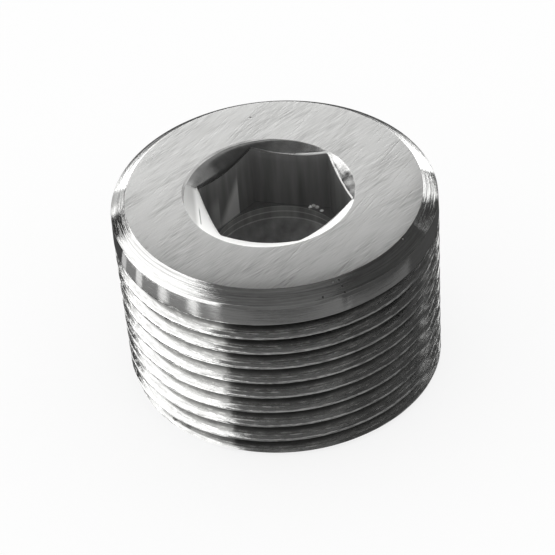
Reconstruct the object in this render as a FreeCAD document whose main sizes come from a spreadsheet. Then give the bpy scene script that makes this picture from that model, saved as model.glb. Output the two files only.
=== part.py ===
import FreeCAD, Part
import Sketcher
import os

# A threaded blanking plug, turned from one bar of steel.
# The axis is Z. The origin is the centre of the small end, and the socket opens upward.
# A taper thread climbs the side from the small end to a plain band below the flat top.

# Driving dimensions, in millimetres and degrees, with the taper and the runout as plain ratios.
DIMENSIONS = {
    # Body, from the small end at height 0 to the flat top
    "overall_length": 21.65,
    "top_face_diameter": 30.5,
    "top_chamfer_height": 1.05,
    "band_height": 2.45,
    "end_chamfer": 0.65,
    # Taper thread, with its diameter over the crests given at the gauge plane
    "thread_diameter": 33.0,
    "gauge_height": 10.0,
    "thread_pitch": 2.0,
    "thread_depth": 0.93,
    "crest_flat": 0.25,
    "taper_ratio": 16,
    # The groove starts in the air under the small end, and fades out from a little below the band
    "groove_start": 2.26,
    "groove_to_band": 0.65,
    "runout_turns": 0.35,
    # The cutting form keeps its flanks up to a shoulder just outside the crests
    "cutter_shoulder": 0.07,
    "cutter_reach": 0.8,
    # Countersunk mouth of the socket, cut a little off the plug's axis towards -X
    "mouth_diameter": 17.5,
    "mouth_angle": 29,
    "mouth_offset": 0.4,
    # Hexagon socket, with its own axis a little off the plug's towards +Y
    "socket_flats": 14.0,
    "socket_depth": 7.5,
    "socket_offset": 0.4,
    # Drilled bore on the socket's axis, with the cone that the drill leaves
    "bore_diameter": 13.7,
    "bore_depth": 9.1,
    "drill_angle": 59,
}

# Expressions that several features share
BAND_FLOOR = "(sizes.overall_length - sizes.top_chamfer_height - sizes.band_height)"
GROWTH_PER_TURN = "sizes.thread_pitch / (2 * sizes.taper_ratio)"
GROOVE_END = f"({BAND_FLOOR} - sizes.groove_to_band)"
GROOVE_TURNS = f"({GROOVE_END} + sizes.groove_start) / sizes.thread_pitch"


def crest_radius(height):
    """The radius of the thread's cone over the crests at a height above the small end."""
    return f"(sizes.thread_diameter + ({height} - sizes.gauge_height) / sizes.taper_ratio) / 2"


document = FreeCAD.newDocument("blanking_plug")


def make_sheet():
    """Put every driving dimension in a cell with its name as the alias."""
    new_sheet = document.addObject("Spreadsheet::Sheet", "sizes")
    for row, (name, value) in enumerate(DIMENSIONS.items(), start=1):
        new_sheet.set(f"A{row}", name)
        new_sheet.set(f"B{row}", str(value))
        new_sheet.setAlias(f"B{row}", name)
    document.recompute()
    return new_sheet


sheet = make_sheet()


def present_value(expression):
    """Work out an expression that reads the sheet, as a plain number."""
    value = sheet.evalExpression(expression)
    return float(getattr(value, "Value", value))


def new_sketch(body, name, role):
    """Make a sketch that lies on one of the body's own origin planes."""
    plane = next(item for item in body.Origin.OriginFeatures if item.Role == role)
    sketch = body.newObject("Sketcher::SketchObject", name)
    sketch.AttachmentSupport = [(plane, "")]
    sketch.MapMode = "FlatFace"
    return sketch


def hold_corner(sketch, line, kind, axis, expression):
    """Fix one coordinate of a line's start by an expression, or with None put it on an axis."""
    if expression is None:
        sketch.addConstraint(Sketcher.Constraint("PointOnObject", line, 1, axis))
        return
    value = present_value(expression)
    number = sketch.addConstraint(Sketcher.Constraint(kind, -1, 1, line, 1, value))
    sketch.setExpression(f"Constraints[{number}]", expression)


def draw_outline(sketch, corners):
    """Draw a closed outline whose corners are pairs of expressions, across and up."""
    points = []
    for corner in corners:
        across, up = (0 if text is None else present_value(text) for text in corner)
        points.append(FreeCAD.Vector(across, up, 0))
    for start, end in zip(points, points[1:] + points[:1]):
        sketch.addGeometry(Part.LineSegment(start, end), False)
    for line in range(len(corners)):
        following = (line + 1) % len(corners)
        sketch.addConstraint(Sketcher.Constraint("Coincident", line, 2, following, 1))
    for line, (across, up) in enumerate(corners):
        hold_corner(sketch, line, "DistanceX", -2, across)
        hold_corner(sketch, line, "DistanceY", -1, up)


def turn_blank(body):
    """Turn the outside: end chamfer, thread cone, plain band, top chamfer and flat top."""
    end_radius = crest_radius("sizes.end_chamfer")
    band_radius = crest_radius(BAND_FLOOR)
    outline = new_sketch(body, "blank_outline", "XZ_Plane")
    draw_outline(outline, [
        (None, None),
        (f"{end_radius} - sizes.end_chamfer", None),
        (end_radius, "sizes.end_chamfer"),
        (band_radius, BAND_FLOOR),
        (band_radius, "sizes.overall_length - sizes.top_chamfer_height"),
        ("sizes.top_face_diameter / 2", "sizes.overall_length"),
        (None, "sizes.overall_length"),
    ])
    blank = body.newObject("PartDesign::Revolution", "turned_blank")
    blank.Profile = outline
    blank.ReferenceAxis = (outline, ["V_Axis"])
    blank.Angle = 360
    document.recompute()


def cut_round(body, name, corners, plane, offset):
    """Revolve a cut about an upright axis, which the offset shifts along the sketch's plane."""
    outline = new_sketch(body, f"{name}_outline", plane)
    outline.setExpression("AttachmentOffset.Base.x", offset)
    draw_outline(outline, corners)
    cut = body.newObject("PartDesign::Groove", name)
    cut.Profile = outline
    cut.ReferenceAxis = (outline, ["V_Axis"])
    cut.Angle = 360
    document.recompute()


def drill_bore(body):
    """Drill the bore from the top, down to the cone that the drill's point leaves."""
    radius = "sizes.bore_diameter / 2"
    shoulder = "sizes.overall_length - sizes.bore_depth"
    cut_round(body, "bore", [
        (None, "sizes.overall_length"),
        (None, f"{shoulder} - {radius} / tan(sizes.drill_angle * 1 deg)"),
        (radius, shoulder),
        (radius, "sizes.overall_length"),
    ], "YZ_Plane", "sizes.socket_offset")


def sink_mouth(body):
    """Countersink the mouth. The cone is cut whole, and the socket takes its middle away."""
    radius = "sizes.mouth_diameter / 2"
    cut_round(body, "mouth", [
        (None, "sizes.overall_length"),
        (None, f"sizes.overall_length - {radius} * tan(sizes.mouth_angle * 1 deg)"),
        (radius, "sizes.overall_length"),
    ], "XZ_Plane", "-sizes.mouth_offset")


def broach_socket(body):
    """Push the hexagon down from the top, with two of its flats square to Y."""
    half_flats = "sizes.socket_flats / 2"
    corner = "sizes.socket_flats / sqrt(3)"
    outline = new_sketch(body, "socket_outline", "XY_Plane")
    outline.setExpression("AttachmentOffset.Base.y", "sizes.socket_offset")
    outline.setExpression("AttachmentOffset.Base.z", "sizes.overall_length")
    draw_outline(outline, [
        (corner, None),
        (f"{corner} / 2", half_flats),
        (f"-{corner} / 2", half_flats),
        (f"-{corner}", None),
        (f"-{corner} / 2", f"-{half_flats}"),
        (f"{corner} / 2", f"-{half_flats}"),
    ])
    socket = body.newObject("PartDesign::Pocket", "hexagon_socket")
    socket.Profile = outline
    socket.Type = "Length"
    socket.setExpression("Length", "sizes.socket_depth")
    document.recompute()


def draw_thread_form(sketch, height, crest):
    """Draw the cutting form: a V as wide as the gap between crests, squared off outside them."""
    crest_half = "(sizes.thread_pitch - sizes.crest_flat) / 2"
    widening = "(1 + sizes.cutter_shoulder / sizes.thread_depth)"
    shoulder_half = f"{crest_half} * {widening}"
    shoulder = f"{crest} + sizes.cutter_shoulder"
    reach = f"{crest} + sizes.cutter_reach"
    draw_outline(sketch, [
        (f"{crest} - sizes.thread_depth", height),
        (shoulder, f"{height} - {shoulder_half}"),
        (reach, f"{height} - {shoulder_half}"),
        (reach, f"{height} + {shoulder_half}"),
        (shoulder, f"{height} + {shoulder_half}"),
    ])


def cut_helix(body, name, sketch, turns, growth):
    """Cut the thread form along a right-hand helix that widens by the growth in each turn."""
    helix = body.newObject("PartDesign::SubtractiveHelix", name)
    helix.Profile = sketch
    helix.ReferenceAxis = (sketch, ["V_Axis"])
    helix.Mode = "height-turns-growth"
    helix.setExpression("Turns", turns)
    helix.setExpression("Height", f"({turns}) * sizes.thread_pitch")
    helix.setExpression("Growth", growth)
    document.recompute()


def cut_thread(body):
    """Cut the taper thread up the side, then let the groove fade out below the band."""
    start = "-sizes.groove_start"
    form = new_sketch(body, "thread_form", "XZ_Plane")
    draw_thread_form(form, start, crest_radius(start))
    cut_helix(body, "taper_thread", form, GROOVE_TURNS, GROWTH_PER_TURN)

    last_form = new_sketch(body, "runout_form", "XZ_Plane")
    last_form.AttachmentOffset = FreeCAD.Placement(
        FreeCAD.Vector(0, 0, 0), FreeCAD.Rotation(FreeCAD.Vector(0, 1, 0), 1))
    last_form.setExpression("AttachmentOffset.Rotation.Angle", f"{GROOVE_TURNS} * 360 deg")
    draw_thread_form(last_form, GROOVE_END, crest_radius(GROOVE_END))
    rise_out = "(sizes.thread_depth + sizes.cutter_shoulder) / sizes.runout_turns"
    cut_helix(body, "thread_runout", last_form, "sizes.runout_turns", rise_out)


def check_document():
    """Stop before anything is written if a feature failed or the solid isn't sound."""
    for item in document.Objects:
        for state in ("Invalid", "Error"):
            if state in item.State:
                raise RuntimeError(f"{item.Label} is {state}")


def write_piece(body):
    shape = body.Shape
    if shape.isNull() or not shape.isValid() or len(shape.Solids) != 1:
        raise RuntimeError(f"{body.Label} is not one sound solid")
    os.makedirs("parts", exist_ok=True)
    shape.exportStep(f"parts/{body.Label}.step")
    print(f"{body.Label}: {shape.Volume:.1f} mm3, {len(shape.Faces)} faces")


plug = document.addObject("PartDesign::Body", "plug")
turn_blank(plug)
drill_bore(plug)
sink_mouth(plug)
broach_socket(plug)
cut_thread(plug)
check_document()
write_piece(plug)
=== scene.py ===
from math import atan2, cos, degrees, hypot, pi, radians, sin, sqrt, tan

import bpy
from mathutils import Matrix, Vector


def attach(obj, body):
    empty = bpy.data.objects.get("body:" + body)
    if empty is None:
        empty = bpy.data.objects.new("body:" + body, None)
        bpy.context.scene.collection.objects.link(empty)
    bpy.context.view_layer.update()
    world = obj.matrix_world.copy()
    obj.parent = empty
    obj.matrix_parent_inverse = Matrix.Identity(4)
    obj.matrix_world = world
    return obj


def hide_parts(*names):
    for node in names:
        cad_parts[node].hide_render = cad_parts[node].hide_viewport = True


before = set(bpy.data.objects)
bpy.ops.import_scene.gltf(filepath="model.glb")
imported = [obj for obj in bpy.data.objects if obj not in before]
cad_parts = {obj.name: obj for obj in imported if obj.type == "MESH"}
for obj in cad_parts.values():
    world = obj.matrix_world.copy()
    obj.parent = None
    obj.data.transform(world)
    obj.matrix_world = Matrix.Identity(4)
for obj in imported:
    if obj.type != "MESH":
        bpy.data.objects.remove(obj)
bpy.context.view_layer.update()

# A steel blanking plug with a taper thread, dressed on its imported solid.
# Sizes are in millimetres, and MM turns them into metres.

MM = 0.001

# Outside of the plug, from the small end at height 0 to the flat top
LENGTH = 21.65
FACE_RADIUS = 15.25
CHAMFER_HEIGHT = 1.05
BAND_HEIGHT = 2.45
END_CHAMFER = 0.65
SHOULDER = LENGTH - CHAMFER_HEIGHT
BAND_FLOOR = SHOULDER - BAND_HEIGHT

# Taper thread, with its radius over the crests given at the gauge height
GAUGE_HEIGHT = 10.0
GAUGE_RADIUS = 16.5
TAPER = 1 / 32
PITCH = 2.0
CREST_FLAT = 0.25
ROOT_FLAT = 0.25
FLANK_ANGLE = 30
GROOVE_START = 2.26
GROOVE_TO_BAND = 0.65
RUNOUT_TURNS = 0.35

# Socket, its countersunk mouth and the drilled bore under it
MOUTH_RADIUS = 8.75
MOUTH_ANGLE = 29
MOUTH_CENTRE = (-0.4, 0.0)
SOCKET_FLATS = 14.0
SOCKET_CENTRE = (0.0, 0.4)
SOCKET_CORNER = 0.35
SOCKET_FLOOR = LENGTH - 7.5
BORE_RADIUS = 6.85
BORE_FLOOR = LENGTH - 9.1
DRILL_ANGLE = 59

# Small roundings that the tools leave on the edges
EDGE_ROUNDING = 0.09
SOCKET_ROUNDING = 0.16
LIP_ROUNDING = 0.09
ROOT_ROUNDING = 0.2

# The mouth's rim is rolled over most in one direction, as far as the reach to either side,
# and the socket's wall keeps a little inside it
MOUTH_ROUNDING = 0.4
MOUTH_ROLL = 2.0
ROLL_TURN = radians(150)
ROLL_REACH = radians(62)
ROLL_EASE = radians(30)
RIM_GAP = 0.03

# How deep the crests are torn, and which of the random patterns they take
TEAR_DEPTH = 0.025
TEAR_SEED = 7.0

# A sliver that hangs from a crest near the small end: turns round the axis, height and size
BURR = (0.6375, 1.75, 0.24)

# Fineness of the mesh, and the angle past which an edge is drawn sharp
COLUMNS = 360
SHARP_ANGLE = radians(32)

# The thread's skin ends a little way up the band, where points closer than the weld are joined
SKIN_TOP = BAND_FLOOR + 0.3
WELD = 0.004

# How far under the shoulder the even rings of the band end
SHOULDER_GAP = 0.1

# Where rows run on half a pitch, from the groove's middle to the crest's, closer at the lip
STATIONS = (0.0, 0.125, 0.3, 0.48, 0.64, 0.76, 0.82, 0.85, 0.88, 0.92, 1.0)

# Small marks that the photograph shows, by their places, and how far each kind reaches
PITS = ((-5.07, 11.92, 21.65),)
NICKS = ((9.37, -12.43, 21.43), (9.74, -12.85, 21.03), (10.11, -13.27, 20.65),
         (8.12, -14.43, 20.73))
# The glints are painted highlights, also made rougher
GLINTS = ((5.08, -14.24, 21.6), (8.84, -12.82, 21.42), (14.48, -5.35, 21.52), (0.8, -16.56, 12.73),
          (0.85, -16.5, 10.68), (0.88, -16.25, 2.75), (9.04, -13.76, 8.78), (9.27, -13.45, 4.75),
          (6.64, -14.85, 2.66), (4.99, -15.43, 1.05), (6.93, -14.78, 4.41))
CHIPS = ((1.85, 7.22, 14.15), (2.55, 7.3, 14.15), (3.15, 6.85, 14.15), (2.2, 7.5, 14.3))
SLIVER = ((-10.75, -12.6, 1.7),)
PIT_REACH = 0.16
NICK_REACH = 0.13
GLINT_REACH = 0.11
CHIP_REACH = 0.27
SLIVER_REACH = 0.38

# Grinding strokes on the flat top, in degrees from X, and the side toward which the top gets painted
# shade
GRIND_TURN = 64
CROSSING_TURN = GRIND_TURN - 13
SCRATCH_TURN = GRIND_TURN + 8
PAINTED_SHADE_SIDE = radians(-74.73)

# Two straight lines in the countersink, drawn thin and dark, past the left one of which the painted
# highlight is dimmer: a point's x and y on each, and the x gained for each y
LEFT_MOUTH_LINE = (-7.62, -1.82, -0.313)
RIGHT_MOUTH_LINE = (7.19, -1.46, 0.52)

# Direction from the axis of the socket's left wall, which has two lighter patches of painted
# reflection
WALL_TURN = radians(150)

# Heights of the turning rings in the drilled bore
BORE_RINGS = (14.1, 13.4, 12.6)

# How light and how rough the steel is on each surface
TOP_TONE = 0.56
TOP_ROUGHNESS = 0.26
SIDE_TONE = 0.58
SIDE_ROUGHNESS = 0.06
CONE_TONE = 0.4
CONE_ROUGHNESS = 0.16
# The near half of the countersink is painted bright as a highlight
NEAR_HIGHLIGHT_TONE = 0.95
SCUFF_ROUGHNESS = 0.6
# A painted highlight along the socket's edge at its far right
EDGE_HIGHLIGHT_TONE = 0.98
EDGE_HIGHLIGHT_ROUGHNESS = 0.7
SOCKET_TONE = 0.19
SOCKET_ROUGHNESS = 0.45
BLUE_SHARE = 0.985
BUMP_HEIGHT = 0.02


def crest_radius(height):
    """The radius over the crests at a height above the small end."""
    return GAUGE_RADIUS + (height - GAUGE_HEIGHT) * TAPER


class Fields:
    """Adds nodes to a tree. One method makes any node, and sums are written on Value."""

    def __init__(self, tree):
        self.tree = tree

    def add(self, kind, settings=None, **sockets):
        """Add a node: first its settings, then the values or links of its sockets."""
        node = self.tree.nodes.new(kind)
        for name, value in (settings or {}).items():
            setattr(node, name, value)
        for name, value in sockets.items():
            self.feed(node, name, value)
        return node

    def feed(self, node, name, value):
        """Set or link the input called name, with _ for a blank, or the input of that number."""
        if name.startswith("in") and name[2:].isdigit():
            socket = node.inputs[int(name[2:])]
        else:
            label = name.replace("_", " ")
            socket = next(item for item in node.inputs if item.name == label and item.enabled)
        if isinstance(value, Value):
            value = value.socket
        if isinstance(value, bpy.types.NodeSocket):
            self.tree.links.new(value, socket)
        else:
            socket.default_value = value

    def value(self, node, output=0):
        return Value(self, node.outputs[output])


class Value:
    """A number in a node tree. An expression on values adds its Math nodes."""

    def __init__(self, fields, socket):
        self.fields = fields
        self.socket = socket

    def math(self, operation, *others):
        terms = {f"in{number}": term for number, term in enumerate((self, *others))}
        return self.fields.value(self.fields.add("ShaderNodeMath", {"operation": operation}, **terms))

    def reflected(self, operation, first):
        """The sum with this as its second number."""
        node = self.fields.add("ShaderNodeMath", {"operation": operation}, in0=first, in1=self)
        return self.fields.value(node)

    def __add__(self, other):
        return self.math("ADD", other)

    __radd__ = __add__

    def __sub__(self, other):
        return self.math("SUBTRACT", other)

    def __rsub__(self, other):
        return self.reflected("SUBTRACT", other)

    def __mul__(self, other):
        return self.math("MULTIPLY", other)

    __rmul__ = __mul__

    def __truediv__(self, other):
        return self.math("DIVIDE", other)

    def __rtruediv__(self, other):
        return self.reflected("DIVIDE", other)

    def __pow__(self, other):
        return self.math("POWER", other)

    def __rpow__(self, other):
        return self.reflected("POWER", other)

    def __neg__(self):
        return self.math("MULTIPLY", -1.0)

    def smallest(self, other):
        return self.math("MINIMUM", other)

    def largest(self, other):
        return self.math("MAXIMUM", other)

    def magnitude(self):
        return self.math("ABSOLUTE")

    def fraction(self):
        return self.math("FRACT")

    def root(self):
        return self.math("SQRT")

    def sine(self):
        return self.math("SINE")

    def cosine(self):
        return self.math("COSINE")

    def held(self, low=0.0, high=1.0):
        return self.largest(low).smallest(high)

    def ramp(self, start, end):
        """Ease from 0 to 1 as this goes from start to end, and hold it outside."""
        node = self.fields.add("ShaderNodeMapRange", {"interpolation_type": "SMOOTHSTEP"},
                               Value=self, From_Min=start, From_Max=end)
        return self.fields.value(node)


def blend(first, second, share):
    """A number that goes from the first to the second as the share goes from 0 to 1."""
    return first + (second - first) * share


# The plug's shape: rings of the socket and the ends, and the thread between them

def column_turns():
    """The direction of each column of the mesh round an axis."""
    return [2 * pi * column / COLUMNS for column in range(COLUMNS)]


def circle(radius, height, centre=(0.0, 0.0)):
    """A level ring of points, one for each column."""
    return [(centre[0] + radius * cos(turn), centre[1] + radius * sin(turn), height)
            for turn in column_turns()]


def hexagon_reach(turn, inset):
    """How far the socket's wall stands from its axis in one direction, with rounded corners."""
    apothem = SOCKET_FLATS / 2 + inset
    off_flat = (turn % (pi / 3)) - pi / 6
    wall = apothem / cos(off_flat)
    off_corner = pi / 6 - abs(off_flat)
    pin = (apothem - SOCKET_CORNER) / cos(pi / 6)
    beside = pin * sin(off_corner)
    if beside >= SOCKET_CORNER / 2:
        return wall
    return pin * cos(off_corner) + sqrt(SOCKET_CORNER ** 2 - beside ** 2)


def cone_height(x, y):
    """The height of the countersink over a point."""
    out = hypot(x - MOUTH_CENTRE[0], y - MOUTH_CENTRE[1])
    return LENGTH - (MOUTH_RADIUS - out) * tan(radians(MOUTH_ANGLE))


def rim_rounding(turn):
    """The rounding of the mouth's edge in one direction from its centre."""
    off_soft = abs((turn - ROLL_TURN + pi) % (2 * pi) - pi)
    soft = max(0.0, min(1.0, (ROLL_REACH - off_soft) / ROLL_EASE))
    return MOUTH_ROUNDING + (MOUTH_ROLL - MOUTH_ROUNDING) * soft * soft * (3 - 2 * soft)


def inside_rim(x, y):
    """The point itself, or one a little inside the mouth's rounded edge if it lies past that."""
    across, along = x - MOUTH_CENTRE[0], y - MOUTH_CENTRE[1]
    rounding = rim_rounding(atan2(along, across))
    lean = radians(MOUTH_ANGLE)
    limit = MOUTH_RADIUS + rounding * (tan(lean / 2) - sin(lean)) - RIM_GAP
    share = min(1.0, limit / hypot(across, along))
    return MOUTH_CENTRE[0] + across * share, MOUTH_CENTRE[1] + along * share


def hexagon(height=None, drop=0.0, inset=0.0):
    """A ring on the socket's wall, at one height or following the countersink above it."""
    ring = []
    for turn in column_turns():
        reach = hexagon_reach(turn, inset)
        x, y = inside_rim(SOCKET_CENTRE[0] + reach * cos(turn), SOCKET_CENTRE[1] + reach * sin(turn))
        level = cone_height(x, y) - drop if height is None else height
        ring.append((x, y, level))
    return ring


def outer_edge(radius, height, above, below):
    """Rings round a convex edge between two surfaces, whose normals lean by so many degrees."""
    half = radians((above - below) / 2)
    middle = radians((above + below) / 2)
    reach = EDGE_ROUNDING / cos(half)
    steps = 3
    rings = []
    for step in range(steps + 1):
        lean = radians(below + (above - below) * step / steps)
        rings.append(circle(radius - reach * cos(middle) + EDGE_ROUNDING * cos(lean),
                            height - reach * sin(middle) + EDGE_ROUNDING * sin(lean)))
    return rings


def mouth_rim():
    """Rings that roll from the flat top into the countersink, more softly on one side."""
    steps = 5
    rings = []
    for step in range(steps + 1):
        lean = radians(MOUTH_ANGLE * step / steps)
        ring = []
        for turn in column_turns():
            rounding = rim_rounding(turn)
            reach = rounding * tan(radians(MOUTH_ANGLE / 2))
            out = MOUTH_RADIUS + reach - rounding * sin(lean)
            ring.append((MOUTH_CENTRE[0] + out * cos(turn), MOUTH_CENTRE[1] + out * sin(turn),
                         LENGTH - rounding * (1 - cos(lean))))
        rings.append(ring)
    return rings


def between(ring_a, ring_b, steps):
    """Rings blended evenly from one to another, without the ends."""
    rings = []
    for step in range(1, steps):
        share = step / steps
        rings.append([tuple(a + (b - a) * share for a, b in zip(point_a, point_b))
                      for point_a, point_b in zip(ring_a, ring_b)])
    return rings


def join_rings(points, faces, rings):
    """Add rings, and the faces between each and the next."""
    first = len(points)
    for ring in rings:
        points.extend(ring)
    for number in range(len(rings) - 1):
        low = first + number * COLUMNS
        for column in range(COLUMNS):
            after = (column + 1) % COLUMNS
            faces.append((low + column, low + after, low + COLUMNS + after, low + COLUMNS + column))


def close_ring(points, faces, first, tip, upward):
    """Close the ring whose points begin at a number with a fan of faces round one point."""
    centre = len(points)
    points.append(tip)
    for column in range(COLUMNS):
        after = (column + 1) % COLUMNS
        face = (first + column, first + after, centre)
        faces.append(face if upward else face[::-1])


def outside_rings():
    """Rings from the thread's skin up the band, over the chamfer and to the flat top's edge."""
    band = crest_radius(BAND_FLOOR)
    chamfer_lean = degrees(atan2(band - FACE_RADIUS, CHAMFER_HEIGHT))
    foot = circle(band, SKIN_TOP)
    rings = [foot] + between(foot, circle(band, SHOULDER - SHOULDER_GAP), 4)
    rings += outer_edge(band, SHOULDER, chamfer_lean, 0)
    rings += outer_edge(FACE_RADIUS, LENGTH, 90, chamfer_lean)
    return rings


def socket_rings(rim):
    """Rings from the mouth's rim down the countersink, the hexagon's walls and the bore."""
    edge = hexagon(inset=SOCKET_ROUNDING)
    rings = [[(x, y, cone_height(x, y)) for x, y, _ in ring] for ring in between(rim, edge, 4)]
    rings += [edge, hexagon(drop=SOCKET_ROUNDING * 0.3, inset=SOCKET_ROUNDING * 0.35)]
    wall_top, wall_foot = hexagon(drop=SOCKET_ROUNDING), hexagon(SOCKET_FLOOR)
    rings += [wall_top] + between(wall_top, wall_foot, 6) + [wall_foot]
    rings += [circle(BORE_RADIUS, SOCKET_FLOOR, SOCKET_CENTRE)]
    rings += [circle(BORE_RADIUS, BORE_FLOOR, SOCKET_CENTRE)]
    for share in (0.8, 0.55, 0.3, 0.1):
        rings.append(circle(BORE_RADIUS * share, drill_height(share), SOCKET_CENTRE))
    return rings


def drill_height(share):
    """The height of the cone that the drill leaves, at a share of the bore's radius."""
    return BORE_FLOOR - BORE_RADIUS / tan(radians(DRILL_ANGLE)) * (1 - share)


def plug_ends():
    """The mesh of all but the thread: the small end, the band, the top and the socket."""
    points, faces = [], []
    end_radius = crest_radius(END_CHAMFER) - END_CHAMFER
    join_rings(points, faces, [circle(end_radius * share, 0.0) for share in (0.4, 0.8, 1.0)])
    close_ring(points, faces, 0, (0.0, 0.0, 0.0), upward=False)

    outside, rim = outside_rings(), mouth_rim()
    top = between(outside[-1], rim[0], 4)
    join_rings(points, faces, outside + top + rim + socket_rings(rim[-1]))
    close_ring(points, faces, len(points) - COLUMNS, (*SOCKET_CENTRE, drill_height(0)), upward=True)
    return points, faces


def thread_inputs():
    """The named inputs of the thread's tree, with the sizes in metres."""
    return {
        "Pitch": PITCH * MM,
        "Crest flat": CREST_FLAT * MM,
        "Root flat": ROOT_FLAT * MM,
        "Flank slope": tan(radians(FLANK_ANGLE)),
        "Taper": TAPER,
        "Gauge radius": GAUGE_RADIUS * MM,
        "Gauge height": GAUGE_HEIGHT * MM,
        "Band floor": BAND_FLOOR * MM,
        "Skin top": SKIN_TOP * MM,
        "Groove start": GROOVE_START * MM,
        "Groove end": (BAND_FLOOR - GROOVE_TO_BAND) * MM,
        "Runout turns": RUNOUT_TURNS,
        "End chamfer": END_CHAMFER * MM,
        "Lip rounding": LIP_ROUNDING * MM,
        "Root rounding": ROOT_ROUNDING * MM,
        "Tear": TEAR_DEPTH * MM,
        "Burr turn": BURR[0],
        "Burr height": BURR[1] * MM,
        "Burr": BURR[2] * MM,
        "Seed": TEAR_SEED,
        "Turns": int((SKIN_TOP + GROOVE_START) / PITCH + 0.5) + 1,
        "Columns": COLUMNS,
    }


def thread_tree(inputs, finish):
    """A tree that adds the thread's skin to the ends: a band of rows wound up the plug."""
    tree = bpy.data.node_groups.new("taper_thread", "GeometryNodeTree")
    tree.interface.new_socket("Geometry", in_out="INPUT", socket_type="NodeSocketGeometry")
    tree.interface.new_socket("Geometry", in_out="OUTPUT", socket_type="NodeSocketGeometry")
    for name, value in inputs.items():
        kind = "NodeSocketInt" if isinstance(value, int) else "NodeSocketFloat"
        socket = tree.interface.new_socket(name, in_out="INPUT", socket_type=kind)
        socket.default_value = value
    nodes = Fields(tree)
    entry = nodes.add("NodeGroupInput")

    def given(name):
        return Value(nodes, entry.outputs[name])

    steps = given("Turns") * given("Columns")
    rows = 2 * len(STATIONS) - 1
    grid = nodes.add("GeometryNodeMeshGrid", Size_X=1.0, Size_Y=1.0, Vertices_X=steps + 1,
                     Vertices_Y=rows)
    place = nodes.add("GeometryNodeInputPosition")
    split = nodes.add("ShaderNodeSeparateXYZ", Vector=place.outputs[0])

    # Each row climbs a pitch in a turn, and the groove's middle stays half way across the skin
    turns = (nodes.value(split) + 0.5) * given("Turns")
    row = (nodes.value(split, 1) * (rows - 1)).math("ROUND")
    station = nodes.add("GeometryNodeIndexSwitch", {"data_type": "FLOAT"}, Index=row.magnitude())
    while len(station.index_switch_items) < len(STATIONS):
        station.index_switch_items.new()
    for number, share in enumerate(STATIONS):
        station.inputs[number + 1].default_value = share
    from_groove = nodes.value(station) * given("Pitch") / 2
    middle = turns * given("Pitch") - given("Groove start")
    height = middle + from_groove * row.math("SIGN")
    level = height.largest(0.0).smallest(given("Skin top"))

    # The groove's depth: two flanks with a rounded root and lips, fading out under the band
    end_turn = (given("Groove end") + given("Groove start")) / given("Pitch")
    fade = 1 - ((turns - end_turn) / given("Runout turns")).held()
    half_width = (given("Pitch") - given("Crest flat")) / 2
    flat_depth = (half_width - given("Root flat") / 2) / given("Flank slope")
    depth = (half_width * fade - from_groove) / given("Flank slope")
    depth = depth.math("SMOOTH_MAX", 0.0, given("Lip rounding") * fade.ramp(0.0, 0.1))
    depth = depth.math("SMOOTH_MIN", flat_depth, given("Root rounding"))

    # The cone over the crests, and the chamfer of the small end that cuts into it
    crest_level = level.smallest(given("Band floor"))
    crest = given("Gauge radius") + (crest_level - given("Gauge height")) * given("Taper")
    above_gauge = given("End chamfer") - given("Gauge height")
    small_end = given("Gauge radius") + above_gauge * given("Taper") - given("End chamfer")
    on_skin = height.math("GREATER_THAN", 0.0) * given("Skin top").math("GREATER_THAN", height)

    # The crests are torn a little, as far as the noise round them goes
    angle = turns * (2 * pi)
    across, along = angle.cosine(), angle.sine()
    spot = nodes.add("ShaderNodeCombineXYZ", X=crest * across / MM, Y=crest * along / MM,
                     Z=level / MM * 3 + given("Seed"))
    tear = nodes.value(nodes.add("ShaderNodeTexNoise", Vector=spot.outputs[0], Scale=2.2, Detail=2.0))
    near_lip = 1 - (depth / (0.5 * MM)).held()
    under_band = (given("Band floor") - height).ramp(-0.2 * MM, 0.8 * MM)
    depth = depth + given("Tear") * tear.ramp(0.45, 0.75) * near_lip * under_band

    # The sliver stands a little proud of its crest
    aside = (turns.fraction() - given("Burr turn")) * (2 * pi) * crest
    off_burr = (aside * aside + (level - given("Burr height")) ** 2.0).root()
    depth = depth - given("Burr") * (1 - (off_burr / given("Burr")).ramp(0.5, 1.2))
    radius = (crest - depth * on_skin).smallest(small_end + level)

    wound = nodes.add("ShaderNodeCombineXYZ", X=radius * across, Y=radius * along, Z=level)
    skin = nodes.add("GeometryNodeSetPosition", Geometry=grid.outputs["Mesh"],
                     Position=wound.outputs[0])
    ends = nodes.add("GeometryNodeJoinGeometry")
    tree.links.new(skin.outputs["Geometry"], ends.inputs[0])
    tree.links.new(entry.outputs["Geometry"], ends.inputs[0])
    welded = nodes.add("GeometryNodeMergeByDistance", Geometry=ends.outputs[0], Distance=WELD * MM)
    real = nodes.add("GeometryNodeRealizeInstances", Geometry=welded.outputs[0])
    coated = nodes.add("GeometryNodeSetMaterial", Geometry=real.outputs[0], Material=finish)
    nodes.add("NodeGroupOutput", Geometry=coated.outputs[0])
    return tree


def wind_thread(ends, finish):
    """Run the thread's tree on the ends and keep the result as a plain mesh."""
    inputs = thread_inputs()
    modifier = ends.modifiers.new("thread", "NODES")
    modifier.node_group = thread_tree(inputs, finish)
    for item in modifier.node_group.interface.items_tree:
        if item.in_out == "INPUT" and item.name in inputs:
            modifier[item.identifier] = inputs[item.name]
    ready = ends.evaluated_get(bpy.context.evaluated_depsgraph_get())
    mesh = bpy.data.meshes.new_from_object(ready)
    ends.modifiers.clear()
    ends.data = mesh


def add_object(name, points, faces):
    """An object in the scene with a mesh of points, in metres, and faces."""
    mesh = bpy.data.meshes.new(name)
    mesh.from_pydata(points, [], faces)
    made = bpy.data.objects.new(name, mesh)
    bpy.context.collection.objects.link(made)
    return made


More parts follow.
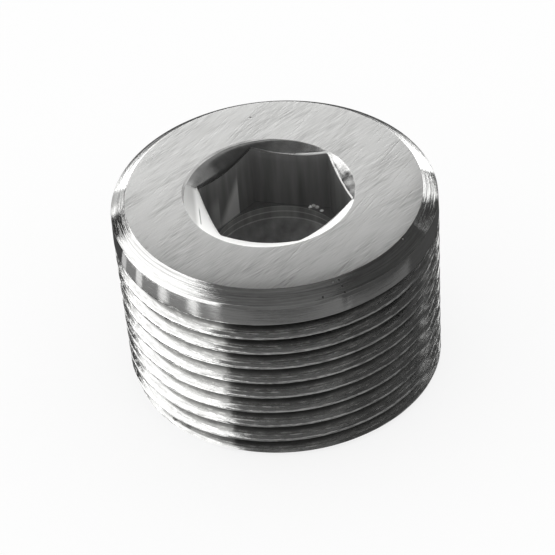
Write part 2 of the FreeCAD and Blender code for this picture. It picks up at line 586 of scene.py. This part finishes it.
def make_plug(finish):
    """The whole plug as one closed mesh that stands for the CAD solid."""
    points, faces = plug_ends()
    plug = add_object("plug_skin", [tuple(value * MM for value in point) for point in points], faces)
    wind_thread(plug, finish)
    plug.data.shade_smooth()
    plug.data.set_sharp_from_angle(angle=SHARP_ANGLE)
    return plug


# The steel's finish, one function for each surface

def new_material(name):
    """A material with an empty tree, and the fields that add to it."""
    material = bpy.data.materials.new(name)
    material.use_nodes = True
    material.node_tree.nodes.clear()
    return material, Fields(material.node_tree)


def stretched_noise(nodes, place, turn, across, along, detail=1.0, offset=0.0):
    """Noise drawn out along one direction of the flat top, in strokes a number of mm long."""
    mapped = nodes.add("ShaderNodeMapping", {"vector_type": "TEXTURE"}, Vector=place,
                       Rotation=(0, 0, radians(turn)), Scale=(along * MM, across * MM, MM),
                       Location=(0, 0, offset))
    return nodes.value(nodes.add("ShaderNodeTexNoise", Vector=mapped.outputs[0], Scale=1.0,
                                 Detail=detail, Roughness=0.6))


def round_noise(nodes, x, y, z, around, upward, detail=4.0):
    """Noise wrapped round the plug, with its fineness around and upward."""
    out = (x * x + y * y).root()
    place = nodes.add("ShaderNodeCombineXYZ", X=x / out * around, Y=y / out * around, Z=z * upward)
    return nodes.value(nodes.add("ShaderNodeTexNoise", Vector=place.outputs[0], Scale=1.0,
                                 Detail=detail, Roughness=0.65))


def marks(x, y, z, places, reach):
    """A mask of small round marks at given places."""
    total = 0.0
    for across, along, height in places:
        off = ((x - across) ** 2.0 + (y - along) ** 2.0 + (z - height) ** 2.0).root()
        total = (1 - off.ramp(reach * 0.5, reach)) + total
    return total.held()


def thin_line(distance, core, edge):
    """A mask of a line where the distance is 0: full as far as its core, and gone at its edge."""
    return 1 - distance.magnitude().ramp(core, edge)


def past_mouth_line(x, y, mouth_line):
    """How far a place lies in x past a straight line in the countersink."""
    start, along, slope = mouth_line
    return x - (y - along) * slope - start


def ground_top(nodes, place, x, y, z):
    """Tone, roughness and height of the flat top: crossed grinding strokes, scratches, a pit and
    painted shade toward one side.
    """
    grain = stretched_noise(nodes, place, GRIND_TURN, 0.1, 1.9)
    crossing = stretched_noise(nodes, place, CROSSING_TURN, 0.12, 2.8, offset=0.3)
    strokes = stretched_noise(nodes, place, SCRATCH_TURN, 0.15, 9.0, offset=0.5)
    clouds = stretched_noise(nodes, place, GRIND_TURN, 3.0, 8.0, detail=2.0, offset=0.7)
    scratches = strokes.ramp(0.6, 0.72)
    pit = marks(x, y, z, PITS, PIT_REACH)
    height = grain * 0.75 + crossing * 0.65 - scratches * 0.5 - pit * 6

    patches = 0.3 + clouds.ramp(0.35, 0.65) * 1.4
    tone = TOP_TONE + ((grain - 0.5) * 0.26 + (crossing - 0.5) * 0.26) * patches
    tone = tone - (clouds - 0.5) * 0.2
    # Painted shade: the top is painted darker toward one side, in place of a darker reflection there
    toward_shade = x * cos(PAINTED_SHADE_SIDE) + y * sin(PAINTED_SHADE_SIDE)
    tone = tone * (1 - toward_shade.ramp(-5.0, 12.0) * 0.2 - toward_shade.ramp(10.0, 17.0) * 0.2)
    # The pit is a dent, and is also painted darker as painted shade
    tone = (tone - scratches * 0.06 - pit * 0.3).held(0.02, 0.9)
    return tone, TOP_ROUGHNESS + grain * 0.12, height


def turned_side(nodes, x, y, z):
    """Tone, roughness and height of the chamfer, the band and the torn thread.

    Fine rings that the tool leaves blur reflections up and down only.
    """
    below_crest = GAUGE_RADIUS + (z.smallest(BAND_FLOOR) - GAUGE_HEIGHT) * TAPER
    below_crest = below_crest - (x * x + y * y).root()
    on_thread = 1 - z.ramp(BAND_FLOOR - 0.1, BAND_FLOOR + 0.1)
    on_chamfer = z.ramp(SHOULDER - 0.05, SHOULDER + 0.05)
    rings = round_noise(nodes, x, y, z, 1.7, 6.0)
    fine_rings = round_noise(nodes, x, y, z, 2.5, 15.0, detail=2.0)
    tears = round_noise(nodes, x, y, z, 14.0, 9.0, detail=3.0)

    # Where the thread is torn, the painted highlight along its lips, a rougher line under them with a
    # painted highlight, and painted shade in its root
    torn = tears.ramp(0.5, 0.75) * on_thread * (1 - below_crest.ramp(0.15, 0.6))
    lip_highlight = on_thread * (1 - below_crest.ramp(0.02, 0.08))
    tear_line_highlight = on_thread * thin_line(below_crest - 0.42, 0.02, 0.08)
    root_shade = on_thread * below_crest.ramp(0.6, 0.92)
    # The nicks are dented and the sliver stands proud; both are also painted dark as painted shade
    nick_and_sliver_shade = marks(x, y, z, NICKS, NICK_REACH).largest(marks(x, y, z, SLIVER, SLIVER_REACH))
    # Glints: painted highlights, also made rougher
    glints = marks(x, y, z, GLINTS, GLINT_REACH)

    height = rings * (0.45 + on_chamfer * 1.4 - on_thread * 0.28) + tears * 0.08 + torn * 0.35
    height = height - nick_and_sliver_shade * 1.5
    rough = SIDE_ROUGHNESS + tears * 0.04 + on_thread * 0.05 + glints * 0.5 + tear_line_highlight * 0.15
    tone = SIDE_TONE - on_thread * 0.1 - on_chamfer * 0.11
    tone = tone + (rings - 0.5) * (0.3 + on_chamfer * 0.2)
    tone = tone + (fine_rings - 0.5) * (0.15 + on_chamfer * 0.45)
    tone = tone + (tears - 0.5) * (0.2 + on_thread * 0.3)
    # Painted highlights along the lips and on the torn line
    tone = tone + lip_highlight * (0.05 + tears.ramp(0.4, 0.65) * 0.75)
    tone = tone + tear_line_highlight * tears.ramp(0.5, 0.6) * 0.5
    # Painted shade in the root
    tone = tone * (1 - root_shade * 0.56) * (1 - nick_and_sliver_shade * 0.85) + glints * 0.4
    return tone, rough, height


def sunk_mouth(x, y, blotches):
    """Tone and roughness of the countersink: dull, darker on its rolled side as painted shade, and
    rougher with a painted highlight on its near half.
    """
    # The near half is rougher and painted bright as a highlight; the rolled side gets painted shade
    scuff_and_highlight = 1 - y.ramp(-0.25, 0.25)
    rolled_side_shade = (-x).ramp(0.5, 4.5) * y.ramp(-0.5, 2.0)
    right_side = x.ramp(3.0, 5.0)
    dull = CONE_TONE + (blotches - 0.5) * (0.3 + right_side * 1.4)
    dull = dull * (1 - rolled_side_shade * 0.5) * (1 - right_side * (1 - y.ramp(3.4, 4.2)) * 0.6)

    # Past the left line the painted highlight is dimmer; both lines are thin and dark
    beyond_left = -past_mouth_line(x, y, LEFT_MOUTH_LINE)
    left_line = thin_line(beyond_left + 0.1, 0.02, 0.08) * (y + 5.8).ramp(0.0, 0.4)
    left_line = left_line * (-y - 2.2).ramp(0.0, 1.0)
    right_line = thin_line(past_mouth_line(x, y, RIGHT_MOUTH_LINE), 0.03, 0.1) * (y + 4.5).ramp(0.0, 0.4)
    bright = NEAR_HIGHLIGHT_TONE - beyond_left.ramp(0.0, 0.5) * 0.3 - (left_line + right_line).held() * 0.5
    rough = blend(CONE_ROUGHNESS + blotches * 0.12, SCUFF_ROUGHNESS, scuff_and_highlight)
    return blend(dull, bright, scuff_and_highlight), rough


def broached_socket(nodes, x, y, z, blotches):
    """Tone of the socket and the bore: dark, with drawn streaks and two painted reflections."""
    streak_place = nodes.add("ShaderNodeCombineXYZ", X=x, Y=y, Z=z * 0.08)
    streaks = nodes.value(nodes.add("ShaderNodeTexNoise", Vector=streak_place.outputs[0], Scale=0.9,
                                    Detail=3.0))
    arcs = 0.0
    for height in BORE_RINGS:
        arcs = thin_line(z - height, 0.03, 0.09) + arcs
    chips = marks(x, y, z, CHIPS, CHIP_REACH) * blotches.ramp(0.35, 0.6)

    # The two lighter patches of painted reflection, by how far they lie along the left wall from its
    # middle
    out = x * cos(WALL_TURN) + y * sin(WALL_TURN)
    along = y * cos(WALL_TURN) - x * sin(WALL_TURN)
    slanting = along.ramp(-2.05, -1.9) * (1 - (along + (z - 14.7) * 0.66).ramp(-0.1, 1.3))
    upright = along.ramp(0.85, 1.0) * (1 - along.ramp(1.6, 2.8)) * (1 - z.ramp(16.5, 18.5))
    sheen = (slanting + upright * 0.4) * out.ramp(SOCKET_FLATS / 2 + 0.05, SOCKET_FLATS / 2 + 0.15)

    tone = SOCKET_TONE + (streaks - 0.5) * 0.25 + arcs * 0.16 + chips * 2.0 + sheen * 0.4
    in_bore = (SOCKET_FLOOR - z).ramp(0.02, 0.1)
    on_ledge = (SOCKET_FLOOR - z).ramp(-0.06, -0.01) * (1 - in_bore)
    on_drill_cone = (BORE_FLOOR - z).ramp(-0.05, 0.05)
    return tone * (1 - on_ledge * 0.6) * (1 + in_bore * 0.7) * (1 - on_drill_cone * 0.5)


def steel_finish():
    """Bright steel: ground on the flat top, turned on the rims, torn along the thread."""
    material, nodes = new_material("machined_steel")
    place = nodes.add("ShaderNodeTexCoord").outputs["Object"]
    split = nodes.add("ShaderNodeSeparateXYZ", Vector=place)
    x, y, z = (nodes.value(split, number) / MM for number in range(3))
    blotches = nodes.value(nodes.add("ShaderNodeTexNoise", Vector=place, Scale=900.0, Detail=2.0))

    # Where each surface is, with a painted highlight, also rough, along the socket's edge at its far
    # right
    from_axis = ((x - MOUTH_CENTRE[0]) ** 2.0 + y * y).root()
    below_cone = LENGTH - (MOUTH_RADIUS - from_axis) * tan(radians(MOUTH_ANGLE)) - z
    on_top = z.ramp(LENGTH - 0.012, LENGTH - 0.004)
    in_mouth = (MOUTH_RADIUS + 0.1 - from_axis).ramp(0.0, 0.1)
    on_cone = in_mouth * (1 - on_top)
    in_socket = in_mouth * below_cone.ramp(0.12, 0.2)
    edge_highlight = in_mouth * below_cone.ramp(0.005, 0.04) * x.ramp(0.4, 1.6) * y.ramp(-0.3, 0.3)

    top_tone, top_rough, top_height = ground_top(nodes, place, x, y, z)
    side_tone, side_rough, side_height = turned_side(nodes, x, y, z)
    cone_tone, cone_rough = sunk_mouth(x, y, blotches)
    socket_tone = broached_socket(nodes, x, y, z, blotches)
    cone_tone = blend(cone_tone, EDGE_HIGHLIGHT_TONE, edge_highlight)
    cone_rough = blend(cone_rough, EDGE_HIGHLIGHT_ROUGHNESS, edge_highlight)

    tone = blend(blend(side_tone, top_tone, on_top), cone_tone, on_cone)
    tone = blend(tone, socket_tone, in_socket).held(0.02, 0.98)
    rough = blend(blend(side_rough, top_rough, on_top), cone_rough, on_cone)
    rough = blend(rough, SOCKET_ROUGHNESS, in_socket)
    height = blend(side_height * (1 - on_cone * 0.85), top_height, on_top)
    bump = nodes.add("ShaderNodeBump", Height=height, Distance=BUMP_HEIGHT * MM, Strength=1.0)
    colour = nodes.add("ShaderNodeCombineColor", Red=tone, Green=tone, Blue=tone * BLUE_SHARE)
    shader = nodes.add("ShaderNodeBsdfPrincipled", Metallic=1 - in_socket * 0.55, Roughness=rough,
                       Base_Color=colour.outputs[0], Normal=bump.outputs[0])
    nodes.add("ShaderNodeOutputMaterial", Surface=shader.outputs[0])
    return material


# Camera: its direction, its roll, and the picture's pixel on which a point of the axis falls

AZIMUTH = radians(15.27)
ELEVATION = radians(39.6282)
ROLL = radians(-4.7023)
DISTANCE = 469.0
AIM_HEIGHT = LENGTH - 10.05
AIM_PIXEL = (279.8265, 268.5013)
PICTURE = 555
FOCAL_PIXELS = 4537.37
SENSOR_WIDTH = 36.0


def camera_axes():
    """The camera's right, up and forward directions."""
    right = Vector((cos(AZIMUTH), sin(AZIMUTH), 0))
    ahead = Vector((-sin(AZIMUTH), cos(AZIMUTH), 0))
    forward = ahead * cos(ELEVATION) + Vector((0, 0, -sin(ELEVATION)))
    up = right.cross(forward)
    return (right * cos(ROLL) + up * sin(ROLL), up * cos(ROLL) - right * sin(ROLL), forward)


def set_camera():
    """Stand the camera where the photograph was taken from."""
    right, up, forward = camera_axes()
    aside = (AIM_PIXEL[0] - PICTURE / 2) / FOCAL_PIXELS * DISTANCE
    below = (AIM_PIXEL[1] - PICTURE / 2) / FOCAL_PIXELS * DISTANCE
    place = Vector((0, 0, AIM_HEIGHT)) - forward * DISTANCE - right * aside + up * below
    data = bpy.data.cameras.new("camera")
    data.sensor_width = SENSOR_WIDTH
    data.lens = SENSOR_WIDTH * FOCAL_PIXELS / PICTURE
    data.clip_start = 0.01
    data.clip_end = 10.0
    camera = bpy.data.objects.new("camera", data)
    turn = Matrix((right, up, -forward)).transposed().to_4x4()
    camera.matrix_world = Matrix.Translation(place * MM) @ turn
    bpy.context.collection.objects.link(camera)
    bpy.context.scene.camera = camera


# Floor, cards and light. Cards are placed as the camera sees the floor.

# How far the floor runs to each side
FLOOR_REACH = 3000

# Heights of the flat cards: overhead, on the floor, and just over those
OVERHEAD = 48
ON_FLOOR = 0.05
OVER_MATS = 0.08

# Pale squares on the floor at left: across and away to their middles, depth and glow
PALE_SQUARES = ((-30.7, 12.2, 3.0, 0.7), (-35.0, 2.3, 3.6, 1.0), (-35.3, -10.8, 4.2, 1.15),
                (-30.4, -23.5, 3.4, 1.5), (-25.0, -30.6, 0.8, 1.3))
SQUARE_WIDTH = 6


def set_floor():
    """A wide pale floor."""
    reach = FLOOR_REACH * MM
    corners = [(-reach, -reach, 0), (reach, -reach, 0), (reach, reach, 0), (-reach, reach, 0)]
    floor = add_object("floor", corners, [(0, 1, 2, 3)])
    floor.data.materials.append(floor_paint())


def floor_paint():
    """Matt white that the camera and the metal see a little lighter, with its shadow kept."""
    material, nodes = new_material("pale_floor")
    matt = nodes.add("ShaderNodeBsdfDiffuse", Color=(0.96, 0.96, 0.96, 1))
    glow = nodes.add("ShaderNodeEmission", Color=(1, 1, 1, 1), Strength=1.0)
    ray = nodes.add("ShaderNodeLightPath")
    seen = Value(nodes, ray.outputs["Is Camera Ray"])
    for kind in ("Is Glossy Ray", "Is Transmission Ray"):
        seen = seen.largest(Value(nodes, ray.outputs[kind]))
    mix = nodes.add("ShaderNodeMixShader", in0=seen * 0.8, in1=matt.outputs[0], in2=glow.outputs[0])
    nodes.add("ShaderNodeOutputMaterial", Surface=mix.outputs[0])
    return material


def studio_point(across, away, height):
    """A point given as the camera sees the floor: to its right, away from it, and up."""
    return ((across * cos(AZIMUTH) - away * sin(AZIMUTH)) * MM,
            (across * sin(AZIMUTH) + away * cos(AZIMUTH)) * MM, height * MM)


def hang_card(name, corners, shade=0.0, glow=0.0):
    """A card that shows only in what the metal reflects: a dull one of a shade, or a glowing one."""
    points = [studio_point(*corner) for corner in corners]
    card = add_object(name, points, [tuple(range(len(corners)))])
    material = bpy.data.materials.new(name)
    material.use_nodes = True
    paint = material.node_tree.nodes["Principled BSDF"].inputs
    paint["Base Color"].default_value = (shade, shade, shade, 1)
    if glow:
        paint["Emission Color"].default_value = (1, 1, 1, 1)
        paint["Emission Strength"].default_value = glow
    else:
        paint["Roughness"].default_value = 1.0
        paint["Specular IOR Level"].default_value = 0.0
    card.data.materials.append(material)
    card.visible_camera = False
    card.visible_diffuse = False
    card.visible_shadow = False


def lay_card(name, corners, height=ON_FLOOR, **look):
    """A card that lies flat, its corners given across and away."""
    hang_card(name, [(*corner, height) for corner in corners], **look)


def stand_card(name, feet, height, **look):
    """A card that stands upright on the floor along a line of feet."""
    tops = [(*foot, height) for foot in reversed(feet)]
    hang_card(name, [(*foot, 0) for foot in feet] + tops, **look)


def set_cards():
    """Dull and glowing cards that the metal reflects, hung where the photograph shows them."""
    # Overhead, in front and at right
    lay_card("overhead_card", [(-24.5, -70), (-24.5, 6), (-12, 15), (18, 15), (18, -70)],
             height=OVERHEAD, shade=0.2)
    lay_card("overhead_side_card", [(18, -70), (18, 15), (22, 42), (40, 42), (46, 16), (57, 16),
                                    (90, 40), (140, 75), (140, -70)], height=OVERHEAD, shade=0.1)
    hang_card("front_card", [(-54, -75, 0), (-24.5, -70, OVERHEAD), (140, -70, OVERHEAD),
                             (140, -75, 0)], shade=0.2)
    hang_card("right_wall_card", [(140, -75, 0), (140, -70, OVERHEAD), (140, 75, OVERHEAD),
                                  (140, 75, 0)], shade=0.1)
    hang_card("right_card", [(60, 20, 57), (60, 20, 90), (140, 125, 170), (140, 125, 110)],
              shade=0.25)
    hang_card("right_dark_card", [(60, 20, 45), (60, 20, 57), (140, 125, 110), (140, 125, 0),
                                  (85, 53, 0)], shade=0.08)
    stand_card("right_low_card", [(110, 100), (85, 115)], 38, shade=0.08)
    hang_card("right_softbox", [(140, 128, 75), (112, 160, 62), (112, 160, 112), (140, 128, 118)],
              glow=2.4)

    # At left and behind, with low cards near the plug that show in the thread alone
    hang_card("back_left_card", [(-57.4, 148, 50), (-57.4, 148, 64), (-104, 104, 72), (-112, 97, 78),
                                 (-121, 89, 86), (-129, 82, 94), (-129, 82, 0), (-104, 104, 0),
                                 (-104, 104, 50)], shade=0.06)
    lay_card("mouth_card", [(-24, 22), (-44, 22), (-44, 48), (-24, 48)], height=52, shade=0.12)
    hang_card("left_softbox", [(-75, -60, 200), (-260, -60, 60), (-260, 330, 60), (-75, 330, 200)],
              glow=2.1)
    stand_card("left_low_softbox", [(-255, -150), (-255, 330)], 60, glow=2.2)
    stand_card("near_left_softbox", [(-12.2, -20.4), (-14.4, -18.8), (-19.1, -12.9)], 6, glow=2.0)
    stand_card("near_front_card", [(-12, -21.5), (14, -21.5)], 12, glow=0.25)
    stand_card("near_right_card", [(14, -21.5), (24, -8)], 12, glow=0.17)
    stand_card("back_softbox", [(-150, 250), (250, 250)], 70, glow=4.0)

    # On the floor: strips in front, a ring of bands at left, and pale squares along it
    lay_card("near_mat", [(-7.5, -15), (-29, -38.3), (24, -38.3), (17, -20), (15, 14), (-7.5, 14)],
             shade=0.24)
    lay_card("front_mat", [(-29, -38.3), (-33.3, -43), (24, -43), (24, -38.3)], shade=0.13)
    lay_card("front_dark_mat", [(-33.3, -43), (-62.7, -75), (140, -75), (140, -43)], shade=0.2)
    lay_card("right_mat", [(24, -43), (140, -43), (140, 14), (15, 14), (17, -20), (24, -38.3)],
             shade=0.09)
    lay_card("back_mat", [(-60, 14), (140, 14), (140, 90), (-60, 90)], shade=0.08)
    close = [(-23, 14), (-23, 3), (-21.8, -8), (-16.5, -16.5), (-10, -19)]
    near = [(-26, 14), (-28, 2), (-27.5, -9.5), (-23, -18.5), (-18.5, -22), (-13.5, -22.5)]
    inner = [(-28, 14), (-31, 2), (-31.5, -9.5), (-27, -20.5), (-23, -25.5), (-18.5, -27.5)]
    outer = [(-36, 14), (-39.5, 2), (-40, -12), (-34, -26.5), (-28, -34.5), (-25.5, -35.5)]
    lay_card("left_mat", inner + outer[::-1], shade=0.34)
    lay_card("left_dark_mat", close + near[::-1], shade=0.03)
    lay_card("left_grey_mat", near + inner[::-1], shade=0.1)
    lay_card("left_far_mat", outer + [(-90, -103), (-250, -150), (-250, 14)], glow=2.4)
    for number, (across, away, depth, glow) in enumerate(PALE_SQUARES):
        left, right = across - SQUARE_WIDTH / 2, across + SQUARE_WIDTH / 2
        low, high = away - depth / 2, away + depth / 2
        lay_card(f"pale_square_{number}", [(left, low), (right, low), (right, high), (left, high)],
                 height=OVER_MATS, glow=glow)


def set_world():
    """An even white tent of light."""
    world = bpy.data.worlds.new("tent")
    world.use_nodes = True
    sky = world.node_tree.nodes["Background"]
    sky.inputs["Color"].default_value = (1, 1, 1, 1)
    sky.inputs["Strength"].default_value = 1.0
    bpy.context.scene.world = world


plug = make_plug(steel_finish())
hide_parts("plug")
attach(plug, "root")
set_floor()
set_cards()
set_world()
set_camera()
bpy.context.scene.view_settings.view_transform = "Standard"
